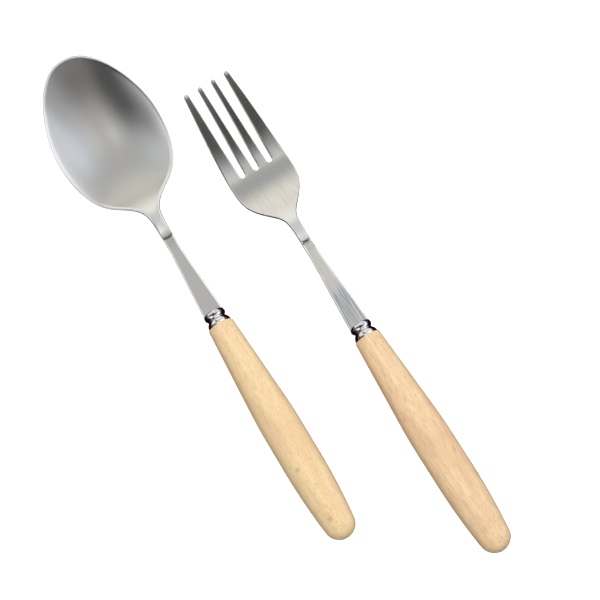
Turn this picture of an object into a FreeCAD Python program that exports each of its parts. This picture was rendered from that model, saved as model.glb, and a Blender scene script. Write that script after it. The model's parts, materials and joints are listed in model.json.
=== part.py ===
import FreeCAD, Part
import math
import os

import Sketcher
from FreeCAD import Vector

# A spoon and a fork of the same picnic set, lying side by side on a flat surface.
#
# Each utensil is a stamped steel blade (head, neck, flat stem and hidden tang), a chromed ferrule,
# a turned beech handle and the glue that fills the bore round the tang. A utensil is drawn in its
# own frame: the handle's axis is Y, with the butt at the origin and the head towards +Y, and the
# stem's flat face looks towards +Z. The placement then tips it head up by a small pitch, so that it
# rests on the handle and on the belly of its head, and turns it a fraction of a degree in plan, as
# the two lie by hand with their heads leaning together. In the row frame Z = 0 is the surface that both
# lie on, +Y runs from the butts to the heads, the spoon is on the -X side and the fork on +X.

# Driving dimensions: alias, value in millimetres or degrees, what it is
SIZES = [
    ("handle_length", 87.5, "butt to the shoulder under the ferrule"),
    ("handle_radius", 7.2, "radius of the straight land, the fattest stretch"),
    ("land_start", 31.0, "butt to the start of the land"),
    ("land_length", 12.0, "length of the land"),
    ("nose_radius", 5.75, "round end of the butt"),
    ("taper_radius", 200.0, "arc that leads from the land into the taper"),
    ("shoulder_radius", 4.9, "radius of the wood at the ferrule"),
    ("shoulder_round", 0.5, "rounded edge of the shoulder"),
    ("spigot_radius", 3.2, "turned spigot that centres the ferrule"),
    ("spigot_length", 2.0, "length of the spigot"),
    ("bore_diameter", 5.4, "blind bore for the tang"),
    ("bore_depth", 52.0, "depth of the bore's cylinder from the spigot's end"),
    ("drill_angle", 118.0, "drill point at the bottom of the bore"),
    ("ferrule_length", 5.8, "shoulder to the top of the ferrule's dome"),
    ("ring_radius", 4.45, "ferrule's lower ring where it meets the wood"),
    ("ring_band", 0.4, "straight band at the foot of the lower ring"),
    ("ring_flank_radius", 4.1, "lower ring half way up its rounded flank"),
    ("ring_flank", 1.6, "height of that point on the flank"),
    ("ring_top", 2.4, "height where the lower ring ends in the groove"),
    ("groove_radius", 3.4, "bottom of the groove between ring and bead"),
    ("groove_top", 2.9, "height where the groove ends and the bead begins"),
    ("bead_radius", 4.1, "fattest point of the bead"),
    ("bead_middle", 4.0, "height of that point"),
    ("bead_edge_radius", 3.4, "radius where the bead turns into the dome"),
    ("bead_edge", 5.35, "height of that turn"),
    ("dome_radius", 1.8, "a point half way up the dome"),
    ("dome_height", 5.67, "height of that point"),
    ("socket_radius", 3.25, "ferrule's socket for the spigot"),
    ("socket_depth", 2.1, "depth of the socket"),
    ("slot_clearance", 0.04, "gap round stem and tang in the ferrule"),
    ("stem_start", 91.9, "where the stem's square shoulders stop inside the ferrule"),
    ("stem_thickness", 2.2, "thickness of the flat stem"),
    ("stem_bevel", 0.55, "bevel along the stem's upper edges"),
    ("stem_half_width", 3.97, "half the stem's width at the ferrule"),
    ("stem_bend", 107.7, "where the stem's taper is half done"),
    ("stem_waist", 118.7, "where the stem reaches its narrow stretch"),
    ("stem_overlap", 1.5, "how far the stem runs on inside the neck"),
    ("tang_width", 4.4, "width of the tang"),
    ("tang_thickness", 1.8, "thickness of the tang"),
    ("tang_end", 42.0, "butt to the hidden end of the tang"),
    ("tang_overlap", 1.0, "how far the tang runs on inside the stem"),
    ("notch_radius", 0.5, "half-round notches that key the glue"),
    ("notch_first", 48.0, "butt to the first pair of notches"),
    ("notch_run", 32.0, "first pair to last pair of notches"),
    ("notch_pairs", 5, "pairs of notches"),
    ("glue_clearance", 0.02, "gap that keeps the glue's round wall off the bore"),
    ("spoon_crease", 125.3, "where the spoon's flat stem panel meets its neck"),
    ("spoon_bend_half_width", 2.94, "half width half way down the spoon's stem"),
    ("spoon_waist_half_width", 2.3, "half width of the spoon's stem at its waist"),
    ("spoon_neck_half_width", 2.2, "half width of the spoon's neck"),
    ("spoon_neck_end", 138.0, "where the neck starts to widen into the bowl"),
    ("spoon_length", 208.3, "butt to the tip of the bowl"),
    ("bowl_blunt", 4.5, "how far to each side the tip's blunt end is drawn"),
    ("bowl_half_width", 21.0, "half the bowl's greatest width"),
    ("bowl_flatness", 0.25, "share of the bowl's rise that comes late, near its rim"),
    ("fork_crease", 128.3, "where the fork's flat stem panel meets its neck"),
    ("fork_bend_half_width", 3.02, "half width half way down the fork's stem"),
    ("fork_waist_half_width", 2.3, "half width of the fork's stem at its waist"),
    ("fork_neck_half_width", 2.0, "half width of the fork's neck"),
    ("fork_neck_end", 138.5, "where the neck starts to widen into the fork's head"),
    ("fork_length", 200.5, "butt to the tips of the tines"),
    ("tine_count", 4, "tines of the fork"),
    ("tine_pitch", 5.61, "tine to tine at the tips"),
    ("tine_tip_radius", 1.0, "half the width of a tine at its tip"),
    ("tine_outside", 9.65, "centre line to the outside of an outer tine at its tip"),
    ("slot_pitch", 5.78, "slot to slot at their closed ends"),
    ("slot_radius", 0.95, "rounded closed end of a slot"),
    ("slot_bottom", 164.9, "butt to the closed ends of the slots"),
    ("head_above", 6.0, "height of the blank above the axis"),
    ("head_below", 20.0, "depth of the blank below the axis"),
    ("spoon_x", -17.23, "spoon's axis in the row frame"),
    ("spoon_y", -88.47, "spoon's butt in the row frame"),
    ("spoon_z", 5.95, "height of the spoon's butt end on its axis"),
    ("spoon_pitch", 2.78, "spoon's tilt, head up"),
    ("spoon_yaw", -0.38, "spoon's turn in plan, anticlockwise from above"),
    ("fork_x", 25.66, "fork's axis in the row frame"),
    ("fork_y", -119.94, "fork's butt in the row frame"),
    ("fork_z", 6.0, "height of the fork's butt end on its axis"),
    ("fork_pitch", 2.7, "fork's tilt, head up"),
    ("fork_yaw", 0.3, "fork's turn in plan, anticlockwise from above"),
]

# Right-hand edge of each head between its neck and its tip, as control points of one smooth
# curve: distance from the centre line, distance from the butt. The sheet gives the neck and tip.
BOWL_EDGE = [(8, 143.5), (11, 145.5), (17, 151), (21, 163), (21.5, 179), (16, 196), (10, 204.5)]
FORK_EDGE = [(3.5, 142), (7.5, 146.5), (11.5, 152.5), (12.5, 160), (12, 172), (11, 187)]

# Stations along each pressed head: distance from the butt, height of the upper face on the centre
# line above the axis, dish (rise per square of the distance from the centre line), thickness
BOWL_STATIONS = [
    (124.0, 1.45, -0.020, 2.60),
    (130.0, 1.35, -0.015, 2.55),
    (136.0, 0.40, 0.010, 2.35),
    (141.0, -2.00, 0.020, 2.05),
    (147.0, -5.80, 0.0155, 1.75),
    (154.0, -9.30, 0.0164, 1.55),
    (163.0, -11.90, 0.0180, 1.50),
    (172.0, -12.80, 0.0182, 1.50),
    (182.0, -12.35, 0.0188, 1.50),
    (192.0, -10.60, 0.0185, 1.45),
    (201.0, -8.10, 0.0165, 1.40),
    (211.0, -5.20, 0.0140, 1.35),
]
FORK_STATIONS = [
    (127.0, 1.45, -0.020, 2.60),
    (133.0, 1.20, -0.015, 2.55),
    (138.0, 0.00, 0.000, 2.45),
    (143.0, -2.70, 0.004, 2.35),
    (150.0, -7.00, 0.006, 2.20),
    (157.0, -10.20, 0.006, 2.10),
    (164.0, -11.70, 0.006, 2.00),
    (170.0, -11.30, 0.006, 1.95),
    (176.0, -9.80, 0.005, 1.85),
    (183.0, -7.30, 0.004, 1.75),
    (192.0, -4.00, 0.003, 1.60),
    (202.5, -0.60, 0.003, 1.30),
]
HEAD_COLUMNS = 9
HEAD_MARGIN = 2.0

# A cut that takes away less than this, in mm3, has missed its part
LEAST_CUT = 1.0
BORE_TOLERANCE = 0.05

document = FreeCAD.newDocument("PicnicCutlery")
sheet = document.addObject("Spreadsheet::Sheet", "Sizes")


def fill_sheet():
    """Writes every driving dimension into the sheet, one row each."""
    for row, (alias, value, note) in enumerate(SIZES, 1):
        sheet.set(f"A{row}", alias)
        sheet.set(f"B{row}", str(value))
        sheet.setAlias(f"B{row}", alias)
        sheet.set(f"C{row}", note)
    document.recompute()


def size(alias):
    """Value of one cell."""
    return float(sheet.get(alias))


def new_body(name):
    """A PartDesign body with its own label."""
    body = document.addObject("PartDesign::Body", name)
    body.Label = name
    return body


def new_sketch(body, name, role, raised="0", shifted="0"):
    """A sketch on one of the body's origin planes, moved along its normal and its vertical axis."""
    sketch = body.newObject("Sketcher::SketchObject", name)
    plane = next(item for item in body.Origin.OriginFeatures if item.Role == role)
    sketch.AttachmentSupport = [(plane, "")]
    sketch.MapMode = "FlatFace"
    sketch.setExpression(".AttachmentOffset.Base.z", raised)
    sketch.setExpression(".AttachmentOffset.Base.y", shifted)
    document.recompute()
    return sketch


def coordinate(sketch, direction, edge, end, expression):
    """Ties one coordinate of an edge's end to an expression of the sheet."""
    axis = {"DistanceX": "x", "DistanceY": "y"}[direction]
    value = getattr(sketch.getPoint(edge, end), axis)
    if expression == "0":
        line = {"DistanceX": -2, "DistanceY": -1}[direction]
        sketch.addConstraint(Sketcher.Constraint("PointOnObject", edge, end, line))
        return
    index = sketch.addConstraint(Sketcher.Constraint(direction, edge, end, value))
    sketch.setExpression(f"Constraints[{index}]", expression)


def close_chain(sketch, count):
    """Joins the sketch's first edges end to start, all the way round."""
    for edge in range(count):
        after = (edge + 1) % count
        sketch.addConstraint(Sketcher.Constraint("Coincident", edge, 2, after, 1))


def pad(body, sketch, name, length, symmetric=False):
    """Pads a sketch by an expression of the sheet."""
    feature = body.newObject("PartDesign::Pad", name)
    feature.Profile = sketch
    feature.setExpression("Length", length)
    if symmetric:
        feature.Midplane = True
    document.recompute()
    return feature


def revolve(body, sketch, name):
    """Turns a sketch about its own vertical axis."""
    feature = body.newObject("PartDesign::Revolution", name)
    feature.Profile = sketch
    feature.ReferenceAxis = (sketch, ["V_Axis"])
    feature.Angle = 360
    document.recompute()
    return feature


def handle_profile(body):
    """Half the handle's outline: nose, back arc, land, taper arc, taper, shoulder and spigot."""
    length = size("handle_length")
    radius = size("handle_radius")
    nose = size("nose_radius")
    land_start = size("land_start")
    land_end = land_start + size("land_length")
    taper = size("taper_radius")
    shoulder = size("shoulder_radius")
    spigot = size("spigot_radius")
    top = length + size("spigot_length")

    # the back arc touches the nose's circle and runs straight into the land
    rise = land_start - nose
    back = (radius**2 + rise**2 - nose**2) / (2 * (radius - nose))
    back_centre = Vector(radius - back, land_start, 0)
    meet = math.atan2(nose - land_start, back - radius)
    # the taper is the tangent from the shoulder to the taper arc
    taper_centre = Vector(radius - taper, land_end, 0)
    reach = Vector(shoulder, length, 0) - taper_centre
    leave = math.atan2(reach.y, reach.x) - math.acos(taper / reach.Length)
    leave_point = taper_centre + Vector(math.cos(leave), math.sin(leave), 0) * taper

    normal = Vector(0, 0, 1)
    nose_circle = Part.Circle(Vector(0, nose, 0), normal, nose)
    back_circle = Part.Circle(back_centre, normal, back)
    taper_circle = Part.Circle(taper_centre, normal, taper)
    sketch = new_sketch(body, body.Name + "Profile", "XY_Plane")
    sketch.addGeometry(Part.ArcOfCircle(nose_circle, -math.pi / 2, meet))
    sketch.addGeometry(Part.ArcOfCircle(back_circle, meet, 0))
    sketch.addGeometry(Part.LineSegment(Vector(radius, land_start), Vector(radius, land_end)))
    sketch.addGeometry(Part.ArcOfCircle(taper_circle, 0, leave))
    sketch.addGeometry(Part.LineSegment(leave_point, Vector(shoulder, length)))
    sketch.addGeometry(Part.LineSegment(Vector(shoulder, length), Vector(spigot, length)))
    sketch.addGeometry(Part.LineSegment(Vector(spigot, length), Vector(spigot, top)))
    sketch.addGeometry(Part.LineSegment(Vector(spigot, top), Vector(0, top)))
    sketch.addGeometry(Part.LineSegment(Vector(0, top), Vector(0, 0)))

    for edge in range(4):
        sketch.addConstraint(Sketcher.Constraint("Tangent", edge, 2, edge + 1, 1))
    for edge in range(4, 9):
        after = (edge + 1) % 9
        sketch.addConstraint(Sketcher.Constraint("Coincident", edge, 2, after, 1))
    coordinate(sketch, "DistanceX", 0, 1, "0")
    coordinate(sketch, "DistanceY", 0, 1, "0")
    coordinate(sketch, "DistanceX", 0, 3, "0")
    coordinate(sketch, "DistanceY", 0, 3, "Sizes.nose_radius")
    coordinate(sketch, "DistanceX", 2, 1, "Sizes.handle_radius")
    coordinate(sketch, "DistanceY", 2, 1, "Sizes.land_start")
    coordinate(sketch, "DistanceX", 2, 2, "Sizes.handle_radius")
    coordinate(sketch, "DistanceY", 2, 2, "Sizes.land_start + Sizes.land_length")
    coordinate(sketch, "DistanceX", 5, 1, "Sizes.shoulder_radius")
    coordinate(sketch, "DistanceY", 5, 1, "Sizes.handle_length")
    coordinate(sketch, "DistanceX", 5, 2, "Sizes.spigot_radius")
    coordinate(sketch, "DistanceY", 5, 2, "Sizes.handle_length")
    coordinate(sketch, "DistanceX", 7, 1, "Sizes.spigot_radius")
    coordinate(sketch, "DistanceY", 7, 1, "Sizes.handle_length + Sizes.spigot_length")
    coordinate(sketch, "DistanceX", 7, 2, "0")
    coordinate(sketch, "DistanceY", 7, 2, "Sizes.handle_length + Sizes.spigot_length")
    bend = sketch.addConstraint(Sketcher.Constraint("Radius", 3, taper))
    sketch.setExpression(f"Constraints[{bend}]", "Sizes.taper_radius")
    document.recompute()
    return sketch


def edge_of_radius(shape, radius, height):
    """Name of the circular edge with this radius at this distance along Y."""
    for index, edge in enumerate(shape.Edges, 1):
        if edge.Degenerated or not isinstance(edge.Curve, Part.Circle):
            continue
        if abs(edge.Curve.Radius - radius) < 1e-4 and abs(edge.Curve.Center.y - height) < 1e-4:
            return f"Edge{index}"
    raise RuntimeError("no such edge")


def make_handle(name):
    """Turned beech handle with a rounded shoulder and the blind bore for the tang."""
    body = new_body(name)
    turned = revolve(body, handle_profile(body), name + "Turned")

    shoulder = body.newObject("PartDesign::Fillet", name + "Shoulder")
    rim = edge_of_radius(turned.Shape, size("shoulder_radius"), size("handle_length"))
    shoulder.Base = (turned, [rim])
    shoulder.setExpression("Radius", "Sizes.shoulder_round")
    document.recompute()

    mouth = "-(Sizes.handle_length + Sizes.spigot_length)"
    sketch = new_sketch(body, name + "Mouth", "XZ_Plane", raised=mouth)
    sketch.addGeometry(Part.Circle(Vector(0, 0, 0), Vector(0, 0, 1), size("bore_diameter") / 2))
    sketch.addConstraint(Sketcher.Constraint("Coincident", 0, 3, -1, 1))
    document.recompute()
    before = body.Shape.Volume
    hole = body.newObject("PartDesign::Hole", name + "Bore")
    hole.Profile = sketch
    document.recompute()
    hole.ThreadType = "None"
    hole.DepthType = "Dimension"
    hole.DrillPoint = "Angled"
    hole.setExpression("Diameter", "Sizes.bore_diameter")
    hole.setExpression("Depth", "Sizes.bore_depth")
    hole.setExpression("DrillPointAngle", "Sizes.drill_angle")
    hole.Reversed = True
    document.recompute()
    bored = before - body.Shape.Volume
    expected = math.pi * size("bore_diameter") ** 2 / 4 * size("bore_depth")
    if abs(bored / expected - 1) > BORE_TOLERANCE:
        raise RuntimeError(f"{name}: the bore took away {bored:.1f} of {expected:.1f} mm3")
    return body


def stem_section(body, name, station, half_width):
    """Flat stem section at one station along Y, with its two upper edges bevelled."""
    half = size(half_width)
    thick = size("stem_thickness") / 2
    bevel = size("stem_bevel")
    sketch = new_sketch(body, name, "XZ_Plane", raised=f"-({station})")
    corners = [
        (half, -thick), (half, thick - bevel), (half - bevel, thick),
        (bevel - half, thick), (-half, thick - bevel), (-half, -thick),
    ]
    wide = f"Sizes.{half_width}"
    low = "Sizes.stem_thickness / 2"
    widths = [wide, wide, f"{wide} - Sizes.stem_bevel",
              f"Sizes.stem_bevel - {wide}", f"-{wide}", f"-{wide}"]
    heights = [f"-{low}", f"{low} - Sizes.stem_bevel", low,
               low, f"{low} - Sizes.stem_bevel", f"-{low}"]
    for index, corner in enumerate(corners):
        after = corners[(index + 1) % len(corners)]
        sketch.addGeometry(Part.LineSegment(Vector(*corner), Vector(*after)))
    close_chain(sketch, len(corners))
    for index in range(len(corners)):
        coordinate(sketch, "DistanceX", index, 1, widths[index])
        coordinate(sketch, "DistanceY", index, 1, heights[index])
    document.recompute()
    return sketch


def make_stem(utensil):
    """Flat stem that narrows from the ferrule to the neck, lofted through four sections."""
    body = new_body(utensil + "_stem")
    stations = [
        ("Sizes.stem_start", "stem_half_width"),
        ("Sizes.stem_bend", utensil + "_bend_half_width"),
        ("Sizes.stem_waist", utensil + "_waist_half_width"),
        (f"Sizes.{utensil}_crease + Sizes.stem_overlap", utensil + "_neck_half_width"),
    ]
    sections = [
        stem_section(body, f"{utensil}StemSection{index}", station, half_width)
        for index, (station, half_width) in enumerate(stations)
    ]
    loft = body.newObject("PartDesign::AdditiveLoft", utensil + "StemLoft")
    loft.Profile = sections[0]
    loft.Sections = sections[1:]
    loft.Ruled = False
    document.recompute()
    return body


def make_tang(utensil):
    """Flat tang inside the handle, with pairs of half-round notches along its edges."""
    body = new_body(utensil + "_tang")
    half = size("tang_width") / 2
    start = size("tang_end")
    stop = size("stem_start") + size("tang_overlap")
    sketch = new_sketch(body, utensil + "TangOutline", "XY_Plane")
    corners = [(-half, start), (half, start), (half, stop), (-half, stop)]
    for index, corner in enumerate(corners):
        after = corners[(index + 1) % 4]
        sketch.addGeometry(Part.LineSegment(Vector(*corner), Vector(*after)))
    close_chain(sketch, 4)
    wide = "Sizes.tang_width / 2"
    top = "Sizes.stem_start + Sizes.tang_overlap"
    places = [(f"-{wide}", "Sizes.tang_end"), (wide, "Sizes.tang_end"), (wide, top), (f"-{wide}", top)]
    for index, (across, along) in enumerate(places):
        coordinate(sketch, "DistanceX", index, 1, across)
        coordinate(sketch, "DistanceY", index, 1, along)
    pad(body, sketch, utensil + "TangPad", "Sizes.tang_thickness", symmetric=True)

    notches = new_sketch(body, utensil + "Notches", "XY_Plane")
    for index, side in enumerate((-1, 1)):
        centre = Vector(side * half, size("notch_first"), 0)
        notches.addGeometry(Part.Circle(centre, Vector(0, 0, 1), size("notch_radius")))
        coordinate(notches, "DistanceX", index, 3, wide if side > 0 else f"-{wide}")
        coordinate(notches, "DistanceY", index, 3, "Sizes.notch_first")
        round_edge = Sketcher.Constraint("Radius", index, size("notch_radius"))
        number = notches.addConstraint(round_edge)
        notches.setExpression(f"Constraints[{number}]", "Sizes.notch_radius")
    document.recompute()
    before = body.Shape.Volume
    pocket = body.newObject("PartDesign::Pocket", utensil + "NotchPocket")
    pocket.Profile = notches
    pocket.Midplane = True
    pocket.setExpression("Length", "Sizes.tang_thickness * 2")
    document.recompute()
    pattern = body.newObject("PartDesign::LinearPattern", utensil + "NotchPattern")
    pattern.Originals = [pocket]
    pattern.Direction = (notches, ["V_Axis"])
    pattern.setExpression("Length", "Sizes.notch_run")
    pattern.setExpression("Occurrences", "Sizes.notch_pairs")
    body.Tip = pattern
    document.recompute()
    if body.Shape.Volume > before - LEAST_CUT * size("notch_pairs"):
        raise RuntimeError(f"{utensil}: the tang's notches took nothing away")
    return body


def edge_curve(points, side):
    """Clamped smooth curve through the control points, mirrored for the left-hand side."""
    curve = Part.BSplineCurve()
    curve.buildFromPoles([Vector(side * across, along, 0) for across, along in points], False, 3)
    return curve


def neck_points(utensil):
    """First control points of a head's edge: the neck's straight side, from the crease on."""
    across = size(utensil + "_neck_half_width")
    crease = size(utensil + "_crease")
    end = size(utensil + "_neck_end")
    return [(across, crease), (across, (crease + end) / 2), (across, end)]


def bowl_outline(sketch):
    """Outline of the spoon's bowl and neck: two mirrored edges and the line across the neck."""
    tip = size("spoon_length")
    edge = neck_points("spoon") + BOWL_EDGE + [(size("bowl_blunt"), tip), (0.0, tip)]
    across, crease = edge[0]
    sketch.addGeometry(edge_curve(edge, 1))
    sketch.addGeometry(edge_curve(edge, -1))
    sketch.addGeometry(Part.LineSegment(Vector(-across, crease, 0), Vector(across, crease, 0)))


def fork_outline(sketch):
    """Outline of the fork's head: the two outer edges, round tine tips and round-ended slots."""
    tine_count = int(size("tine_count"))
    tip = size("fork_length")
    tip_radius = size("tine_tip_radius")
    slot_radius = size("slot_radius")
    bottom = size("slot_bottom")
    shoulder = tip - tip_radius
    outer = size("tine_outside")
    edge = neck_points("fork") + FORK_EDGE + [(outer, shoulder)]
    across, crease = edge[0]
    sketch.addGeometry(edge_curve(edge, 1))
    sketch.addGeometry(edge_curve(edge, -1))
    sketch.addGeometry(Part.LineSegment(Vector(-across, crease, 0), Vector(across, crease, 0)))

    tines = [(index - (tine_count - 1) / 2) * size("tine_pitch") for index in range(tine_count)]
    slots = [(index - (tine_count - 2) / 2) * size("slot_pitch") for index in range(tine_count - 1)]
    for index, tine in enumerate(tines):
        left = -outer if index == 0 else tine - tip_radius
        right = outer if index == tine_count - 1 else tine + tip_radius
        top = Vector((left + right) / 2, tip, 0)
        sketch.addGeometry(Part.Arc(Vector(left, shoulder, 0), top, Vector(right, shoulder, 0)))
    for index, slot in enumerate(slots):
        near = Vector(tines[index] + tip_radius, shoulder, 0)
        far = Vector(tines[index + 1] - tip_radius, shoulder, 0)
        low_near = Vector(slot - slot_radius, bottom + slot_radius, 0)
        low_far = Vector(slot + slot_radius, bottom + slot_radius, 0)
        sketch.addGeometry(Part.LineSegment(near, low_near))
        sketch.addGeometry(Part.Arc(low_near, Vector(slot, bottom, 0), low_far))
        sketch.addGeometry(Part.LineSegment(low_far, far))


def make_blank(utensil, outline):
    """Head blank: the outline cut straight through a thick slab, later pressed to its form."""
    body = new_body(utensil + "_blank")
    sketch = new_sketch(body, utensil + "Outline", "XY_Plane", raised="-Sizes.head_below")
    outline(sketch)
    document.recompute()
    pad(body, sketch, utensil + "BlankPad", "Sizes.head_below + Sizes.head_above")
    return body


def pressed_face(stations, reach, late_share, lower):
    """Smooth upper or lower face of a pressed head, from its stations."""
    rows = []
    for along, centre, dish, thickness in stations:
        drop = thickness if lower else 0.0
        row = []
        for column in range(HEAD_COLUMNS):
            across = reach * (2 * column / (HEAD_COLUMNS - 1) - 1)
            late = (across / reach) ** 2
            rise = dish * across**2 * (1 - late_share + late_share * late)
            row.append(Vector(across, along, centre - drop + rise))
        rows.append(row)
    surface = Part.BSplineSurface()
    surface.interpolate(rows)
    return surface.toShape()


def make_press_half(name, stations, half_width, late_share, lower):
    """One half of the press: everything under the upper face, or everything over the lower one."""
    reach = half_width + HEAD_MARGIN
    depth = size("head_above") + size("head_below")
    face = pressed_face(stations, reach, late_share, lower)
    half = document.addObject("Part::Feature", name)
    half.Label = name
    half.Shape = face.extrude(Vector(0, 0, depth if lower else -depth))
    return half


def make_blade(utensil, outline, stations, half_width, late_share):
    """Whole steel blade: pressed head with neck, flat stem and tang as one solid."""
    blank = make_blank(utensil, outline)
    under = make_press_half(utensil + "_under_face", stations, half_width, late_share, False)
    over = make_press_half(utensil + "_over_face", stations, half_width, late_share, True)
    trimmed = document.addObject("Part::Common", utensil + "Trimmed")
    trimmed.Base = blank
    trimmed.Tool = under
    head = document.addObject("Part::Common", utensil + "Head")
    head.Base = trimmed
    head.Tool = over
    tang = make_tang(utensil)
    blade = document.addObject("Part::MultiFuse", utensil + "_blade")
    blade.Label = utensil + "_blade"
    blade.Shapes = [head, make_stem(utensil), tang]
    blade.Refine = True
    document.recompute()
    return blade, tang


def ferrule_profile(body):
    """Half the ferrule's section: socket, lower ring, groove, bead and dome."""
    sketch = new_sketch(body, body.Name + "Profile", "XY_Plane", shifted="Sizes.handle_length")
    places = [
        ("socket_radius", "0"), ("ring_radius", "0"), ("ring_radius", "ring_band"),
        ("groove_radius", "ring_top"), ("groove_radius", "groove_top"),
        ("bead_edge_radius", "bead_edge"), ("0", "ferrule_length"), ("0", "socket_depth"),
        ("socket_radius", "socket_depth"),
    ]
    through = {2: ("ring_flank_radius", "ring_flank"), 4: ("bead_radius", "bead_middle"),
               5: ("dome_radius", "dome_height")}
    points = [
        Vector(0 if across == "0" else size(across), 0 if along == "0" else size(along), 0)
        for across, along in places
    ]
    for index, point in enumerate(points):
        after = points[(index + 1) % len(points)]
        if index in through:
            across, along = through[index]
            sketch.addGeometry(Part.Arc(point, Vector(size(across), size(along), 0), after))
        else:
            sketch.addGeometry(Part.LineSegment(point, after))
    close_chain(sketch, len(points))
    for index, (across, along) in enumerate(places):
        # an arc that runs clockwise is stored from its far end
        end = 1 if sketch.getPoint(index, 1).distanceToPoint(points[index]) < 1e-6 else 2
        coordinate(sketch, "DistanceX", index, end, across if across == "0" else f"Sizes.{across}")
        coordinate(sketch, "DistanceY", index, end, along if along == "0" else f"Sizes.{along}")
    for index, (across, along) in through.items():
        point = sketch.addGeometry(Part.Point(Vector(size(across), size(along), 0)), True)
        sketch.addConstraint(Sketcher.Constraint("PointOnObject", point, 1, index))
        coordinate(sketch, "DistanceX", point, 1, f"Sizes.{across}")
        coordinate(sketch, "DistanceY", point, 1, f"Sizes.{along}")
    document.recompute()
    return sketch


def slot_pocket(body, name, half_width, thickness, station):
    """Rectangular slot cut from one station out through the ferrule's dome."""
    sketch = new_sketch(body, name + "Sketch", "XZ_Plane", raised=f"-({station})")
    gap = size("slot_clearance")
    wide = half_width[1] + gap
    high = thickness[1] / 2 + gap
    corners = [(-wide, -high), (wide, -high), (wide, high), (-wide, high)]
    for index, corner in enumerate(corners):
        after = corners[(index + 1) % 4]
        sketch.addGeometry(Part.LineSegment(Vector(*corner), Vector(*after)))
    close_chain(sketch, 4)
    across = f"{half_width[0]} + Sizes.slot_clearance"
    up = f"{thickness[0]} / 2 + Sizes.slot_clearance"
    places = [(f"-({across})", f"-({up})"), (across, f"-({up})"), (across, up), (f"-({across})", up)]
    for index, (horizontal, vertical) in enumerate(places):
        coordinate(sketch, "DistanceX", index, 1, horizontal)
        coordinate(sketch, "DistanceY", index, 1, vertical)
    document.recompute()
    before = body.Shape.Volume
    pocket = body.newObject("PartDesign::Pocket", name)
    pocket.Profile = sketch
    pocket.setExpression("Length", "Sizes.ferrule_length")
    document.recompute()
    if body.Shape.Volume > before - LEAST_CUT:
        raise RuntimeError(f"{name} cut nothing")


def make_ferrule(name):
    """Chromed ferrule with a socket for the spigot, a slot for the tang and a seat for the stem."""
    body = new_body(name)
    revolve(body, ferrule_profile(body), name + "Turned")
    tang = ("Sizes.tang_width / 2", size("tang_width") / 2)
    tang_thickness = ("Sizes.tang_thickness", size("tang_thickness"))
    slot_pocket(body, name + "TangSlot", tang, tang_thickness, "Sizes.handle_length")
    stem = ("Sizes.stem_half_width", size("stem_half_width"))
    stem_thickness = ("Sizes.stem_thickness", size("stem_thickness"))
    slot_pocket(body, name + "StemSeat", stem, stem_thickness, "Sizes.stem_start")
    return body


def make_glue(name, tang):
    """Glue that fills the bore and its drill point, less the tang."""
    body = new_body(name + "_plug")
    radius = size("bore_diameter") / 2 - size("glue_clearance")
    top = size("handle_length") + size("spigot_length")
    floor = top - size("bore_depth")
    point = floor - radius / math.tan(math.radians(size("drill_angle") / 2))
    corners = [(0, point), (radius, floor), (radius, top), (0, top)]
    sketch = new_sketch(body, name + "Profile", "XY_Plane")
    for index, corner in enumerate(corners):
        after = corners[(index + 1) % 4]
        sketch.addGeometry(Part.LineSegment(Vector(*corner), Vector(*after)))
    close_chain(sketch, 4)
    wide = "Sizes.bore_diameter / 2 - Sizes.glue_clearance"
    high = "Sizes.handle_length + Sizes.spigot_length"
    low = f"{high} - Sizes.bore_depth"
    cone = f"{low} - ({wide}) / tan(Sizes.drill_angle * 0.5deg)"
    places = [("0", cone), (wide, low), (wide, high), ("0", high)]
    for index, (across, along) in enumerate(places):
        coordinate(sketch, "DistanceX", index, 1, across)
        coordinate(sketch, "DistanceY", index, 1, along)
    revolve(body, sketch, name + "Turned")
    glue = document.addObject("Part::Cut", name)
    glue.Label = name
    glue.Base = body
    glue.Tool = tang
    document.recompute()
    return glue


def place(part, utensil):
    """Lays a sub-part where its utensil lies in the row frame, turned a little and tipped head up."""
    base = "; ".join(f"Sizes.{utensil}_{axis} * 1mm" for axis in "xyz")
    turn = f"Sizes.{utensil}_yaw * 1deg; 0deg; Sizes.{utensil}_pitch * 1deg"
    part.setExpression("Placement", f"placement(vector({base}); rotation({turn}))")


def make_utensil(utensil, outline, stations, half_width, late_share):
    """The four pieces of one utensil, placed in the row frame."""
    blade, tang = make_blade(utensil, outline, stations, half_width, late_share)
    parts = [
        blade,
        make_ferrule(utensil + "_ferrule"),
        make_handle(utensil + "_handle"),
        make_glue(utensil + "_glue", tang),
    ]
    for part in parts:
        place(part, utensil)
    document.recompute()
    return parts


def check(parts):
    """Stops on any failed object, and on a sub-part that isn't one valid solid."""
    for item in document.Objects:
        if {"Invalid", "Error"} & set(item.State):
            raise RuntimeError(f"{item.Name} failed: {item.State}")
    for part in parts:
        shape = part.Shape
        if shape.isNull() or not shape.isValid() or len(shape.Solids) != 1:
            raise RuntimeError(f"{part.Label} is not one valid solid")


def write(parts):
    """Writes each sub-part to its own file."""
    os.makedirs("parts", exist_ok=True)
    for part in parts:
        part.Shape.exportStep(f"parts/{part.Label}.step")
        box = part.Shape.optimalBoundingBox()
        low = f"{box.XMin:.2f} {box.YMin:.2f} {box.ZMin:.2f}"
        high = f"{box.XMax:.2f} {box.YMax:.2f} {box.ZMax:.2f}"
        print(f"{part.Label:15s} {low}  to  {high}  volume {part.Shape.Volume:.1f}")


fill_sheet()
fork_half_width = max(across for across, along in FORK_EDGE)
sub_parts = make_utensil(
    "spoon", bowl_outline, BOWL_STATIONS, size("bowl_half_width"), size("bowl_flatness")
)
sub_parts += make_utensil("fork", fork_outline, FORK_STATIONS, fork_half_width, 0.0)
check(sub_parts)
write(sub_parts)
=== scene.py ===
import json
import math

import bpy
import numpy as np
from mathutils import Matrix, Vector


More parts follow.
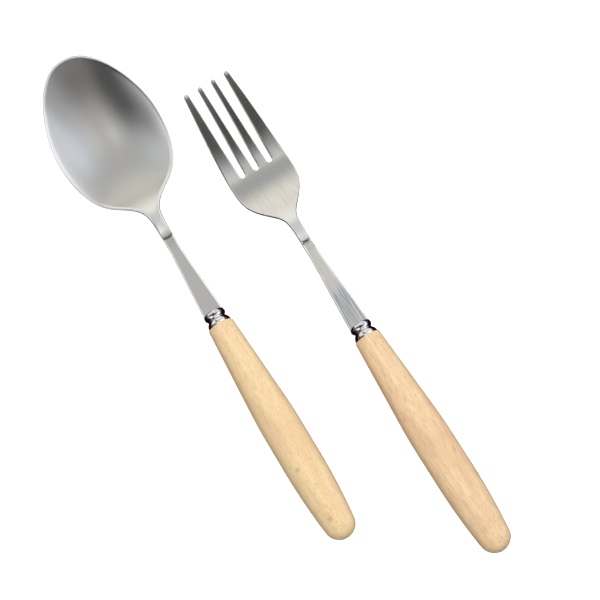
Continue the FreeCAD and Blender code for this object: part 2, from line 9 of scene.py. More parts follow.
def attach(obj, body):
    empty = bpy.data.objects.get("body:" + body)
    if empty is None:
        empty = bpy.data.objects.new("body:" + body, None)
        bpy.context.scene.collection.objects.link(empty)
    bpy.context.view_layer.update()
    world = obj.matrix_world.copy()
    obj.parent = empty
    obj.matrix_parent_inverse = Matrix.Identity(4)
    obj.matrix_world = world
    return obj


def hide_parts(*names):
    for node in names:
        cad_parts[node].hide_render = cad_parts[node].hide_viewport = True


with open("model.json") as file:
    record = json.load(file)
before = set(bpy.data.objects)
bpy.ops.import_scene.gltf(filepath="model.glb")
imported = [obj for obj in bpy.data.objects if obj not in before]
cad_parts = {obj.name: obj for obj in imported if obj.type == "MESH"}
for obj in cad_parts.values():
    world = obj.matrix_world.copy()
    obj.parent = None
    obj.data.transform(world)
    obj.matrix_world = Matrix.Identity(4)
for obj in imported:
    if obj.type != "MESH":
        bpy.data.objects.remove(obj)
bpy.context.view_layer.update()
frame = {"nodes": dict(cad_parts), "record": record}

# A spoon and a fork with pressed steel heads, chromed ferrules and turned beech handles, lying
# side by side. Every utensil is drawn in millimetres in its own frame, as in the CAD: the handle's
# axis is Y with the butt at the origin, and +Z is up out of the bowl. place() then lays the points
# in the row frame, in metres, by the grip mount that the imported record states.

MM = 0.001

# ---------------------------------------------------------------- the design's dimensions, in mm

HANDLE_LENGTH = 87.5
HANDLE_RADIUS = 7.2
LAND_START = 31.0
LAND_LENGTH = 12.0
NOSE_RADIUS = 5.75
TAPER_RADIUS = 200.0
SHOULDER_RADIUS = 4.9
SHOULDER_ROUND = 0.5
SPIGOT_RADIUS = 3.2
SPIGOT_LENGTH = 2.0
BORE_RADIUS = 2.7
BORE_DEPTH = 52.0
DRILL_POINT = 1.6

FERRULE_LENGTH = 5.8
RING_RADIUS = 4.45
RING_BAND = 0.4
RING_FLANK = (4.1, 1.6)
RING_TOP = 2.4
GROOVE_RADIUS = 3.4
GROOVE_TOP = 2.9
BEAD_SIDE = (4.1, 4.0)
BEAD_EDGE = (3.4, 5.35)
DOME_SIDE = (1.8, 5.67)
SOCKET_RADIUS = 3.25
SOCKET_DEPTH = 2.1
SEAT_CLEARANCE = 0.04
SEAT_HALF_HEIGHT = 1.14

STEM_START = 91.9
STEM_HALF_WIDTH = 3.97
STEM_BEND = 107.7
STEM_WAIST = 118.7
STEM_OVERLAP = 1.5
STEM_BEVEL = 0.55
STEM_BEVEL_DEPTH = 0.35
STEM_EDGE_ROUND = 0.28
BEVEL_WIDTH = STEM_BEVEL - STEM_EDGE_ROUND * 0.5
PANEL_DROP = 0.35

# Stretches along the blade, as distances past the crease towards the head: where the stem's bevels
# fade, and where the crease's bow comes and goes. Then the bow, the length over which the dish sets
# in before the first station, and the length past the crease over which the rim's rounding grows.
STEM_FADE = (-1.5, 0.5)
BOW_RISE = (-3, -0.6)
BOW_FADE = (1.5, 5)
CREASE_BOW = 0.45
DISH_RUN = 4.0
RIM_RUN = 9.0

TINE_COUNT = 4
TINE_PITCH = 5.61
TINE_TIP_RADIUS = 1.0
SLOT_PITCH = 5.78
SLOT_RADIUS = 0.95
SLOT_BOTTOM = 164.9
TINE_OUTSIDE = 9.65
TIP_DROOP = 0.4
TIP_RUN = 1.6
FORK_LENGTH = 200.5
SPOON_LENGTH = 208.3
BOWL_BLUNT = 4.5

SLOT_END = SLOT_BOTTOM + SLOT_RADIUS
TINE_SHOULDER = FORK_LENGTH - TINE_TIP_RADIUS
TINES = [(i - (TINE_COUNT - 1) / 2) * TINE_PITCH for i in range(TINE_COUNT)]
SLOTS = [(i - (TINE_COUNT - 2) / 2) * SLOT_PITCH for i in range(TINE_COUNT - 1)]

# Right-hand edge of each head between its neck and its tip, as control points of one smooth
# curve: distance from the centre line, distance from the butt
BOWL_EDGE = [(8, 143.5), (11, 145.5), (17, 151), (21, 163), (21.5, 179), (16, 196), (10, 204.5)]
FORK_EDGE = [(3.5, 142), (7.5, 146.5), (11.5, 152.5), (12.5, 160), (12, 172), (11, 187)]
BOWL_TIP = [(BOWL_BLUNT, SPOON_LENGTH), (0, SPOON_LENGTH)]
FORK_TIP = [(TINE_OUTSIDE, TINE_SHOULDER)]

# Stations of each pressed head: distance from the butt, height of the upper face on the centre
# line, dish (rise per square of the distance from the centre line), thickness
BOWL_STATIONS = [
    (124.0, 1.45, -0.020, 2.60),
    (130.0, 1.35, -0.015, 2.55),
    (136.0, 0.40, 0.010, 2.35),
    (141.0, -2.00, 0.020, 2.05),
    (147.0, -5.80, 0.0155, 1.75),
    (154.0, -9.30, 0.0164, 1.55),
    (163.0, -11.90, 0.0180, 1.50),
    (172.0, -12.80, 0.0182, 1.50),
    (182.0, -12.35, 0.0188, 1.50),
    (192.0, -10.60, 0.0185, 1.45),
    (201.0, -8.10, 0.0165, 1.40),
    (211.0, -5.20, 0.0140, 1.35),
]
FORK_STATIONS = [
    (127.0, 1.45, -0.020, 2.60),
    (133.0, 1.20, -0.015, 2.55),
    (138.0, 0.00, 0.000, 2.45),
    (143.0, -2.70, 0.004, 2.35),
    (150.0, -7.00, 0.006, 2.20),
    (157.0, -10.20, 0.006, 2.10),
    (164.0, -11.70, 0.006, 2.00),
    (170.0, -11.30, 0.006, 1.95),
    (176.0, -9.80, 0.005, 1.85),
    (183.0, -7.30, 0.004, 1.75),
    (192.0, -4.00, 0.003, 1.60),
    (202.5, -0.60, 0.003, 1.30),
]

# Pin knots of the spoon's handle, in metres in its own frame
PIN_KNOTS = [(-0.003, 0.028, 0.0065), (-0.002, 0.008, 0.0057)]

# What differs between the two utensils.
# Shape, in mm: where the crease and the end of the straight neck lie, half widths of the neck and of
# the stem at its bend and waist, the head's edge and stations, the share of the dish that comes late,
# near the half width "reach", the rim's rounding, and the length of the crease's step.
# Steel: strength of the painted shade in the crease, strength of the brushing, colour, roughness,
# height of the waves in metres, and how far from the butt, in metres, the stem is scoured matt, with
# a painted bluish reflection in its scratches (0 for not at all).
# Wood: early and late colour, strength of the grain and of the blotches, fineness along the grain
# and strength of the pores, and the knots.
UTENSILS = {
    "spoon": {
        "crease": 125.3, "neck": 2.2, "neck_end": 138.0, "edge": BOWL_EDGE + BOWL_TIP,
        "stations": BOWL_STATIONS, "bend": 2.94, "waist": 2.3, "late": 0.25, "reach": 23.0,
        "rim": 1.15, "crease_run": 0.45, "crease_dark": 0.95, "brushing": 0.35,
        "steel": (0.64, 0.635, 0.625, 1), "satin": 0.24,
        "scoured_to": 0.0, "waves": 0.00003,
        "wood": (0.85, 0.655, 0.385, 1), "late_wood": (0.80, 0.585, 0.32, 1), "grain": 0.35,
        "blotch": 0.25, "pores": (700, 0.3), "knots": PIN_KNOTS,
    },
    "fork": {
        "crease": 128.3, "neck": 2.0, "neck_end": 138.5, "edge": FORK_EDGE + FORK_TIP,
        "stations": FORK_STATIONS, "bend": 3.02, "waist": 2.3, "late": 0.0, "reach": 14.5,
        "rim": 0.50, "crease_run": 0.8, "crease_dark": 0.38, "brushing": 1.0,
        "steel": (0.90, 0.895, 0.875, 1), "satin": 0.15,
        "scoured_to": 0.107, "waves": 0.00006,
        "wood": (0.86, 0.64, 0.40, 1), "late_wood": (0.79, 0.55, 0.325, 1), "grain": 0.5,
        "blotch": 0.35, "pores": (170, 0.5), "knots": [],
    },
}

# ---------------------------------------------------------------- how finely the pieces are meshed

# Distances between rows in mm: along the stem, along the head, and close to the crease, for this
# far on either side of it. The last row before a tip keeps at least the shortest step.
STEM_STEP = 1.0
HEAD_STEP = 0.85
CREASE_STEP = 0.08
FINE_BEFORE_CREASE = 1.2
FINE_AFTER_CREASE = 1.6
SHORTEST_STEP = 0.3

# Samples of a head's edge curve, and the step in mm over which a face's slope is taken
CURVE_SAMPLES = 4000
SLOPE_STEP = 0.02

# The fork's rows bend round the slots' bottoms and out into the round tips over these lengths, and
# the last whole row but one keeps a gap to the slots' bottoms
SLOT_PULL = 9.0
TIP_PULL = 4.0
SLOT_ROW_GAP = 0.4

# On the stem three columns lie on and beside the bevel's upper line, as a share of the half width.
# They leave it over this stretch past the crease.
BEVEL_COLUMN_GAP = 0.03
BEVEL_COLUMN_FADE = (1, 8)

SPOON_COLUMNS = 57
TINE_COLUMNS = 8
TINE_ROWS = 45

# The rim's section is a slightly squared half round
RIM_STEPS = 8
RIM_POWER = 2 / 2.4

# Turned pieces: sides round the axis, points along each arc or straight run of the outline, and the
# angle from which an edge is sharp
HANDLE_SIDES = 128
FERRULE_SIDES = 96
NOSE_POINTS = 26
BACK_POINTS = 22
LAND_POINTS = 8
TAPER_POINTS = 12
STRAIGHT_POINTS = 30
SHOULDER_POINTS = 7
DOME_POINTS = 12
BEAD_POINTS = 20
RING_POINTS = 14
HANDLE_SHARP = math.radians(50)
FERRULE_SHARP = math.radians(38)

# ---------------------------------------------------------------- curves and placing


def smooth(low, high, value):
    """0 below low, 1 above high, and a smooth step between."""
    share = np.clip((np.asarray(value, float) - low) / (high - low), 0, 1)
    return share * share * (3 - 2 * share)


def smooth_past(start, stretch, value):
    """The same smooth step over a stretch given as two distances past a start."""
    return smooth(start + stretch[0], start + stretch[1], value)


def natural_spline(xs, ys):
    """Function for the natural cubic spline through the points, level past its ends."""
    xs = np.asarray(xs, float)
    ys = np.asarray(ys, float)
    gaps = np.diff(xs)
    count = len(xs)
    matrix = np.eye(count)
    right = np.zeros(count)
    for i in range(1, count - 1):
        matrix[i, i - 1:i + 2] = gaps[i - 1], 2 * (gaps[i - 1] + gaps[i]), gaps[i]
        right[i] = 6 * ((ys[i + 1] - ys[i]) / gaps[i] - (ys[i] - ys[i - 1]) / gaps[i - 1])
    bends = np.linalg.solve(matrix, right)

    def value(x):
        x = np.clip(np.asarray(x, float), xs[0], xs[-1])
        i = np.clip(np.searchsorted(xs, x) - 1, 0, count - 2)
        gap = gaps[i]
        far = (xs[i + 1] - x) / gap
        near = (x - xs[i]) / gap
        curve = (far**3 - far) * bends[i] + (near**3 - near) * bends[i + 1]
        return far * ys[i] + near * ys[i + 1] + curve * gap**2 / 6

    return value


def clamped_curve(points, count):
    """Points along the clamped cubic curve of these control points."""
    points = np.asarray(points, float)
    degree = 3
    last = len(points) - 1
    inner = np.linspace(0, 1, last - degree + 2)
    knots = np.concatenate([np.zeros(degree), inner, np.ones(degree)])
    out = []
    for u in np.linspace(0, 1, count):
        k = int(np.clip(np.searchsorted(knots, u, side="right") - 1, degree, last))
        work = points[k - degree:k + 1].copy()
        for level in range(1, degree + 1):
            for j in range(degree, level - 1, -1):
                i = j + k - degree
                share = (u - knots[i]) / (knots[i + degree - level + 1] - knots[i])
                work[j] = (1 - share) * work[j - 1] + share * work[j]
        out.append(work[degree])
    return np.array(out)


def arc_through(first, middle, last, count):
    """Points along the circular arc through three points, with both ends."""
    (ax, ay), (bx, by), (cx, cy) = first, middle, last
    area = 2 * (ax * (by - cy) + bx * (cy - ay) + cx * (ay - by))
    a_square = ax * ax + ay * ay
    b_square = bx * bx + by * by
    c_square = cx * cx + cy * cy
    centre_x = (a_square * (by - cy) + b_square * (cy - ay) + c_square * (ay - by)) / area
    centre_y = (a_square * (cx - bx) + b_square * (ax - cx) + c_square * (bx - ax)) / area
    angles = [math.atan2(y - centre_y, x - centre_x) for x, y in (first, middle, last)]
    turn = (angles[2] - angles[0]) % (2 * math.pi)
    if (angles[1] - angles[0]) % (2 * math.pi) > turn:
        turn -= 2 * math.pi
    radius = math.hypot(ax - centre_x, ay - centre_y)
    sweep = angles[0] + np.linspace(0, 1, count) * turn
    return [(centre_x + radius * math.cos(t), centre_y + radius * math.sin(t)) for t in sweep]


def lie(utensil):
    """Butt's end on the handle's axis, in mm in the row frame, and the utensil's own three axes."""
    mounts = {mount["name"]: mount for mount in frame["record"]["mounts"]}
    mount = mounts[utensil + "_grip"]
    ahead = -np.array(mount["axis"], float)
    ahead /= np.linalg.norm(ahead)
    side = np.array([ahead[1], -ahead[0], 0.0])
    side /= np.linalg.norm(side)
    middle = LAND_START + LAND_LENGTH / 2
    butt = np.array(mount["pos_m"], float) / MM - ahead * middle
    return butt, np.array([side, ahead, np.cross(side, ahead)])


def place(points, utensil):
    """Points of a utensil's own frame, in mm, laid in the row frame, in metres."""
    butt, axes = lie(utensil)
    return (np.asarray(points, float) @ axes + butt) * MM


def mark_own(mesh, utensil):
    """Writes each point's place in its utensil's own frame, in metres, to the attribute "own"."""
    butt, axes = lie(utensil)
    placed = np.empty(3 * len(mesh.vertices), np.float32)
    mesh.vertices.foreach_get("co", placed)
    places = (placed.reshape(-1, 3) - butt * MM) @ axes.T
    own = mesh.attributes.get("own") or mesh.attributes.new("own", "FLOAT_VECTOR", "POINT")
    own.data.foreach_set("vector", places.astype(np.float32).ravel())


def new_piece(name, points, faces, utensil, marks=None):
    """A smooth mesh piece in the row frame that rides on its utensil and stands for its CAD node."""
    mesh = bpy.data.meshes.new(name)
    mesh.from_pydata(place(points, utensil).tolist(), [], faces)
    mesh.update()
    mark_own(mesh, utensil)
    for mark, values in (marks or {}).items():
        attribute = mesh.attributes.new(mark, "FLOAT", "POINT")
        attribute.data.foreach_set("value", np.asarray(values, np.float32))
    mesh.shade_smooth()
    piece = bpy.data.objects.new(name, mesh)
    bpy.context.scene.collection.objects.link(piece)
    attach(piece, utensil)
    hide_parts(name.removesuffix("_visual"))
    return piece


# ---------------------------------------------------------------- the pressed steel blades

# Marks on the steel. Polish, as shares from 0 to 1, and where the bright neck comes and goes, in mm
# past the crease and past the neck's end. The tines are bright over their last millimetre or so.
BEVEL_POLISH = 0.8
NECK_POLISH = 0.85
RIM_EDGE_POLISH = 0.6
NECK_RISE = (1, 3)
NECK_FADE = (-1, 9)
BRIGHT_TIP = (-TIP_RUN, -0.6)

# Painted shade: width of the dark line painted in the crease, and share, place and width of the
# softer painted shade on the stem behind it
CREASE_LINE = 0.5
BEHIND_CREASE_SHADE = 0.15
SHADE_BACK = 2.2
SHADE_WIDTH = 1.8

# Stations between which the painted shade that darkens the fork's palm comes and goes
PALM_RISE = (150, 161)
PALM_FADE = (164, 169)


def surface_of(kit):
    """Height of a blade's smooth upper reference face and its thickness, as functions."""
    along, centre, dish, thick = (list(column) for column in zip(*kit["stations"]))
    centre = natural_spline(along, centre)
    dish = natural_spline(along, dish)
    thick = natural_spline(along, thick)

    def height(x, y):
        late = (np.asarray(x) / kit["reach"]) ** 2
        rise = dish(y) * np.asarray(x) ** 2 * (1 - kit["late"] + kit["late"] * late)
        return centre(y) + rise * smooth(along[0] - DISH_RUN, along[0], y)

    return height, thick


def blade_edge(kit):
    """Right-hand edge of a blade in plan from the ferrule to the tip, and the rim's rounding."""
    crease = kit["crease"]
    neck = kit["neck"]
    half = natural_spline(
        [STEM_START, STEM_BEND, STEM_WAIST, crease + STEM_OVERLAP],
        [STEM_HALF_WIDTH, kit["bend"], kit["waist"], neck],
    )
    coarse = np.arange(STEM_START, crease - FINE_BEFORE_CREASE, STEM_STEP)
    fine = np.arange(crease - FINE_BEFORE_CREASE, crease - CREASE_STEP / 2, CREASE_STEP)
    stem_rows = np.concatenate([coarse, fine])
    stem = np.stack([half(stem_rows), stem_rows], 1)
    neck_points = [(neck, crease), (neck, (crease + kit["neck_end"]) / 2), (neck, kit["neck_end"])]
    head = clamped_curve(neck_points + kit["edge"], CURVE_SAMPLES)
    passed = np.concatenate([[0], np.cumsum(np.linalg.norm(np.diff(head, axis=0), axis=1))])
    close = np.arange(0, FINE_AFTER_CREASE, CREASE_STEP)
    wide = np.arange(FINE_AFTER_CREASE, passed[-1] - SHORTEST_STEP, HEAD_STEP)
    steps = np.concatenate([close, wide, [passed[-1]]])
    head = np.stack([np.interp(steps, passed, head[:, 0]), np.interp(steps, passed, head[:, 1])], 1)
    edge = np.concatenate([stem, head])
    grown = smooth(crease, crease + RIM_RUN, edge[:, 1])
    return edge, STEM_EDGE_ROUND + (kit["rim"] - STEM_EDGE_ROUND) * grown


def inset(edge, amount):
    """The edge moved inwards in plan."""
    tangent = np.gradient(edge, axis=0)
    tangent /= np.linalg.norm(tangent, axis=1)[:, None]
    inward = np.stack([-tangent[:, 1], tangent[:, 0]], 1)
    return edge + inward * amount[:, None]


def cosine_steps(count):
    """Shares from 0 to 1, closer together at both ends."""
    return (1 - np.cos(np.pi * np.arange(count + 1) / count)) / 2


def stem_shares(shares, marks, crease, y, half_width):
    """Column shares of a row. On the stem the marked columns gather round the bevel's upper line."""
    line = 1 - BEVEL_WIDTH / half_width
    targets = [0.0, line - BEVEL_COLUMN_GAP, line, line + BEVEL_COLUMN_GAP, 1.0]
    gathered = np.sign(shares) * np.interp(np.abs(shares), [0.0, *marks, 1.0], targets)
    blend = 1 - float(smooth_past(crease, BEVEL_COLUMN_FADE, y))
    return shares + (gathered - shares) * blend


def spoon_grid(kit, edge):
    """Plan points and faces of the spoon: straight rows from edge to edge, closed at the tip."""
    shares = np.linspace(-1, 1, SPOON_COLUMNS)
    marks = np.abs(shares[[5, 4, 3]])
    plan = []
    grid = []
    for x, y in edge[:-1]:
        row_shares = stem_shares(shares, marks, kit["crease"], y, x)
        grid.append(list(range(len(plan), len(plan) + len(shares))))
        plan += [(x * share, y) for share in row_shares]
    grid.append([len(plan)] * len(shares))
    plan.append((0.0, edge[-1][1]))
    return np.array(plan), quads_of(grid)


def quads_of(grid):
    """Faces between neighbouring rows of point numbers, with a row of one repeated point allowed."""
    faces = []
    for low, high in zip(grid[:-1], grid[1:]):
        for j in range(len(low) - 1):
            corners = [low[j], low[j + 1], high[j + 1], high[j]]
            if None in corners:
                continue
            faces.append(tuple(dict.fromkeys(corners)))
    return faces


def tine_sides(kit, edge, y):
    """Left and right side of every tine at this station, inset by the rim's rounding."""
    outer = float(np.interp(y, edge[:, 1], edge[:, 0]))
    share = np.clip((y - SLOT_END) / (TINE_SHOULDER - SLOT_END), 0, 1)
    sides = []
    for i in range(TINE_COUNT):
        left = -outer
        right = outer
        if i > 0:
            low = SLOTS[i - 1] + SLOT_RADIUS
            left = low + (TINES[i] - TINE_TIP_RADIUS - low) * share + kit["rim"]
        if i < TINE_COUNT - 1:
            low = SLOTS[i] - SLOT_RADIUS
            right = low + (TINES[i] + TINE_TIP_RADIUS - low) * share - kit["rim"]
        sides.append((left, right))
    return sides


def fork_columns(at_slot):
    """Places of the grid's columns across the slots' bottoms, and the tine or slot each belongs to."""
    across = cosine_steps(TINE_COLUMNS)
    columns = []
    owner = []
    for i, (left, right) in enumerate(at_slot):
        columns += [left + (right - left) * share for share in across]
        owner += [("tine", i)] * len(across)
        if i < TINE_COUNT - 1:
            gap = at_slot[i + 1][0] - right
            columns += [right + gap * share for share in across[1:-1]]
            owner += [("slot", i)] * (len(across) - 2)
    return np.array(columns), owner


def fork_grid(kit, edge):
    """Plan points and faces of the fork: rows across the whole head, then rows on each tine."""
    at_slot = tine_sides(kit, edge, SLOT_END)
    columns, owner = fork_columns(at_slot)
    width_at_slot = at_slot[-1][1]
    shares = columns / width_at_slot
    marks = sorted(shares[[-5, -4, -3]])

    plan = []
    grid = []
    full_rows = [y for y in edge[:, 1] if y < SLOT_END - SLOT_ROW_GAP] + [SLOT_END]
    for y in full_rows:
        outer = float(np.interp(y, edge[:, 1], edge[:, 0]))
        near_slot = float(smooth(SLOT_END - SLOT_PULL, SLOT_END, y))
        row = []
        for x, (kind, i) in zip(stem_shares(shares, marks, kit["crease"], y, outer) * outer, owner):
            drop = 0.0
            if kind == "slot":
                radius = SLOT_RADIUS + kit["rim"]
                centre = SLOTS[i] * outer / width_at_slot
                drop = math.sqrt(max(radius**2 - (x - centre) ** 2, 0)) * near_slot
            row.append(len(plan))
            plan.append((x, y - drop))
        grid.append(row)

    across = cosine_steps(TINE_COLUMNS)
    tine_rows = SLOT_END + (TINE_SHOULDER - SLOT_END) * np.linspace(0, 1, TINE_ROWS + 1)[1:]
    for y in tine_rows:
        near_tip = float(smooth(TINE_SHOULDER - TIP_PULL, TINE_SHOULDER, y))
        sides = tine_sides(kit, edge, y)
        row = []
        for j, (kind, i) in enumerate(owner):
            if kind == "slot":
                row.append(None)
                continue
            left, right = sides[i]
            start = owner.index(("tine", i))
            x = left + (right - left) * across[j - start]
            radius = (right - left) / 2
            rise = math.sqrt(max(radius**2 - (x - (left + right) / 2) ** 2, 0)) * near_tip
            row.append(len(plan))
            plan.append((x, y + rise))
        grid.append(row)
    return np.array(plan), quads_of(grid)


def outline_loop(faces):
    """Point numbers round the faces' outer edge, in order, with the faces on the left."""
    following = {}
    used = set()
    for face in faces:
        for a, b in zip(face, face[1:] + face[:1]):
            used.add((a, b))
    for a, b in used:
        if (b, a) not in used:
            following[a] = b
    first = min(following)
    loop = [first]
    while following[loop[-1]] != first:
        loop.append(following[loop[-1]])
    return loop


def upper_face(utensil, rows, base, normal, bevel):
    """The pressed upper face. The flat panel of the stem lies lower than the neck, behind a rounded
    step, its long edges are bevelled, and the fork's tips droop a little."""
    kit = UTENSILS[utensil]
    crease = kit["crease"]
    step_share = np.clip((crease + kit["crease_run"] - rows) / kit["crease_run"], 0, 1)
    panel = 1 - np.cos(step_share * math.pi / 2)
    depth = PANEL_DROP * panel + STEM_BEVEL_DEPTH * bevel * on_stem(crease, rows)
    top = base - normal * depth[:, None]
    if utensil == "fork":
        droop = TIP_DROOP * np.clip((rows - (FORK_LENGTH - TIP_RUN)) / TIP_RUN, 0, 1) ** 2
        top -= np.outer(droop, (0, 0, 1))
    return top


def on_stem(crease, rows):
    """1 on the stem's flat panel, 0 on the neck and the head."""
    return 1 - smooth_past(crease, STEM_FADE, rows)


def rounded_rim(top, bottom, loop, outward, reach):
    """Points and faces of the rim that closes the sheet, from the upper face round to the lower."""
    middle = (top[loop] + bottom[loop]) / 2
    half_height = (top[loop] - bottom[loop]) / 2
    count = len(top)
    points = []
    rings = [loop]
    for k in range(1, RIM_STEPS):
        angle = math.pi / 2 - math.pi * k / RIM_STEPS
        up = math.copysign(abs(math.sin(angle)) ** RIM_POWER, angle)
        out = math.cos(angle) ** RIM_POWER
        points.append(middle + half_height * up + outward * (reach * out)[:, None])
        rings.append(2 * count + (k - 1) * len(loop) + np.arange(len(loop)))
    rings.append(loop + count)
    faces = []
    for upper, lower in zip(rings[:-1], rings[1:]):
        for i in range(len(loop)):
            j = (i + 1) % len(loop)
            faces.append((int(upper[j]), int(upper[i]), int(lower[i]), int(lower[j])))
    return points, faces


def blade_marks(utensil, rows, y, bevel, loop, total):
    """Shares that the steel reads at every point: bright polish on the bevels, neck, tips and rim,
    painted shade in and behind the crease, and painted shade that darkens the fork's palm."""
    kit = UTENSILS[utensil]
    crease = kit["crease"]
    count = len(rows)
    polished = np.zeros(total)
    polished[:count] = BEVEL_POLISH * np.minimum(bevel * 2, 1) * on_stem(crease, rows)
    bright_neck = smooth_past(crease, NECK_RISE, y) * (1 - smooth_past(kit["neck_end"], NECK_FADE, y))
    polished[:count] += NECK_POLISH * bright_neck * (1 - polished[:count])
    polished[2 * count:] = 1
    palm_shade = np.zeros(total)
    if utensil == "fork":
        polished[:count] += smooth_past(FORK_LENGTH, BRIGHT_TIP, rows)
        # painted shade that darkens the fork's palm
        palm_shade[:count] = smooth(*PALM_RISE, y) * (1 - smooth(*PALM_FADE, y))
    polished[loop] = RIM_EDGE_POLISH
    middle_of_step = crease - kit["crease_run"] / 2
    # painted shade: a dark line in the crease's step and a softer shade on the stem behind it
    crease_shade = np.zeros(total)
    crease_shade[:count] = np.exp(-(((rows - middle_of_step) / CREASE_LINE) ** 2)) * kit["crease_dark"]
    crease_shade[:count] += BEHIND_CREASE_SHADE * np.exp(-(((rows - crease + SHADE_BACK) / SHADE_WIDTH) ** 2))
    return {"polished": polished, "crease_shade": crease_shade, "palm_shade": palm_shade}


def make_blade(utensil):
    """The whole steel blade as one closed sheet: stem, crease, neck, head and rounded rim."""
    kit = UTENSILS[utensil]
    crease = kit["crease"]
    edge, rounding = blade_edge(kit)
    inner = inset(edge, rounding)
    grid_of = spoon_grid if utensil == "spoon" else fork_grid
    plan, faces = grid_of(kit, inner)
    x, rows = plan[:, 0], plan[:, 1]
    half = np.interp(rows, inner[:, 1], inner[:, 0])

    # rows near the crease bow towards the head at their ends, as the crease itself does
    bow = smooth_past(crease, BOW_RISE, rows) * (1 - smooth_past(crease, BOW_FADE, rows))
    y = rows + CREASE_BOW * (x / half) ** 2 * bow

    height, thick = surface_of(kit)
    z = height(x, y)
    slope_x = (height(x + SLOPE_STEP, y) - height(x - SLOPE_STEP, y)) / (2 * SLOPE_STEP)
    slope_y = (height(x, y + SLOPE_STEP) - height(x, y - SLOPE_STEP)) / (2 * SLOPE_STEP)
    normal = np.stack([-slope_x, -slope_y, np.ones_like(z)], 1)
    normal /= np.linalg.norm(normal, axis=1)[:, None]
    base = np.stack([x, y, z], 1)
    bevel = np.clip((np.abs(x) - (half - BEVEL_WIDTH)) / BEVEL_WIDTH, 0, 1)
    top = upper_face(utensil, rows, base, normal, bevel)
    bottom = base - np.outer(thick(y), (0, 0, 1))

    loop = np.array(outline_loop(faces))
    ring = plan[loop]
    tangent = np.roll(ring, -1, axis=0) - np.roll(ring, 1, axis=0)
    tangent /= np.maximum(np.linalg.norm(tangent, axis=1), 1e-9)[:, None]
    out_x, out_y = tangent[:, 1], -tangent[:, 0]
    outward = np.stack([out_x, out_y, out_x * slope_x[loop] + out_y * slope_y[loop]], 1)
    reach = np.interp(ring[:, 1], edge[:, 1], rounding)
    rim, rim_faces = rounded_rim(top, bottom, loop, outward, reach)

    points = np.concatenate([top, bottom, *rim])
    under = [tuple(i + len(plan) for i in reversed(face)) for face in faces]
    marks = blade_marks(utensil, rows, y, bevel, loop, len(points))
    name = utensil + "_blade_visual"
    return new_piece(name, points, faces + under + rim_faces, utensil, marks)


# ---------------------------------------------------------------- turned pieces


def lathe(profile, sides):
    """Points and faces of a closed outline turned about Y. The outline starts and ends on the axis."""
    points = [(0.0, profile[0][1], 0.0)]
    rings = []
    for radius, along in profile[1:-1]:
        start = len(points)
        for k in range(sides):
            angle = 2 * math.pi * k / sides
            points.append((radius * math.cos(angle), along, radius * math.sin(angle)))
        rings.append(start)
    points.append((0.0, profile[-1][1], 0.0))
    last = len(points) - 1
    faces = []
    for k in range(sides):
        after = (k + 1) % sides
        faces.append((0, rings[0] + k, rings[0] + after))
        for low, high in zip(rings[:-1], rings[1:]):
            faces.append((low + k, high + k, high + after, low + after))
        faces.append((last, rings[-1] + after, rings[-1] + k))
    return points, faces


def straight_run(first, last, count):
    """Evenly spaced points of a straight run, without its last point."""
    shares = np.arange(count) / count
    return [(first[0] + (last[0] - first[0]) * t, first[1] + (last[1] - first[1]) * t) for t in shares]


def turned_arc(centre, radius, start, end, count):
    """Points of an arc of the outline from one angle to another, in radians from straight out."""
    return [
        (centre[0] + radius * math.cos(t), centre[1] + radius * math.sin(t))
        for t in np.linspace(start, end, count)
    ]


def handle_profile():
    """Handle outline from the nose over the shoulder and spigot, and down into the bore."""
    rise = LAND_START - NOSE_RADIUS
    back = (HANDLE_RADIUS**2 + rise**2 - NOSE_RADIUS**2) / (2 * (HANDLE_RADIUS - NOSE_RADIUS))
    meet = math.atan2(NOSE_RADIUS - LAND_START, back - HANDLE_RADIUS)
    land_end = LAND_START + LAND_LENGTH
    centre_x = HANDLE_RADIUS - TAPER_RADIUS
    reach_x = SHOULDER_RADIUS - centre_x
    reach_y = HANDLE_LENGTH - land_end
    leave = math.atan2(reach_y, reach_x) - math.acos(TAPER_RADIUS / math.hypot(reach_x, reach_y))
    nose = turned_arc((0.0, NOSE_RADIUS), NOSE_RADIUS, -math.pi / 2, meet, NOSE_POINTS)
    back_arc = turned_arc((HANDLE_RADIUS - back, LAND_START), back, meet, 0, BACK_POINTS)[1:]
    land = straight_run((HANDLE_RADIUS, LAND_START), (HANDLE_RADIUS, land_end), LAND_POINTS)[1:]
    taper = turned_arc((centre_x, land_end), TAPER_RADIUS, 0, leave, TAPER_POINTS)
    slope = math.tan(leave)
    round_start = (SHOULDER_RADIUS + SHOULDER_ROUND * slope, HANDLE_LENGTH - SHOULDER_ROUND)
    straight = straight_run(taper[-1], round_start, STRAIGHT_POINTS)[1:]
    shoulder_centre = (round_start[0] - SHOULDER_ROUND, round_start[1])
    shoulder = turned_arc(shoulder_centre, SHOULDER_ROUND, 0, math.pi / 2, SHOULDER_POINTS)
    top = HANDLE_LENGTH + SPIGOT_LENGTH
    floor = top - BORE_DEPTH
    inside = [
        (SPIGOT_RADIUS, HANDLE_LENGTH), (SPIGOT_RADIUS, top), (BORE_RADIUS, top),
        (BORE_RADIUS, floor), (0.0, floor - DRILL_POINT),
    ]
    return nose + back_arc + land + taper + straight + shoulder + inside


def make_handle(utensil):
    """Turned beech handle with its blind bore."""
    points, faces = lathe(handle_profile(), HANDLE_SIDES)
    piece = new_piece(utensil + "_handle_visual", points, faces, utensil)
    piece.data.set_sharp_from_angle(angle=HANDLE_SHARP)
    return piece


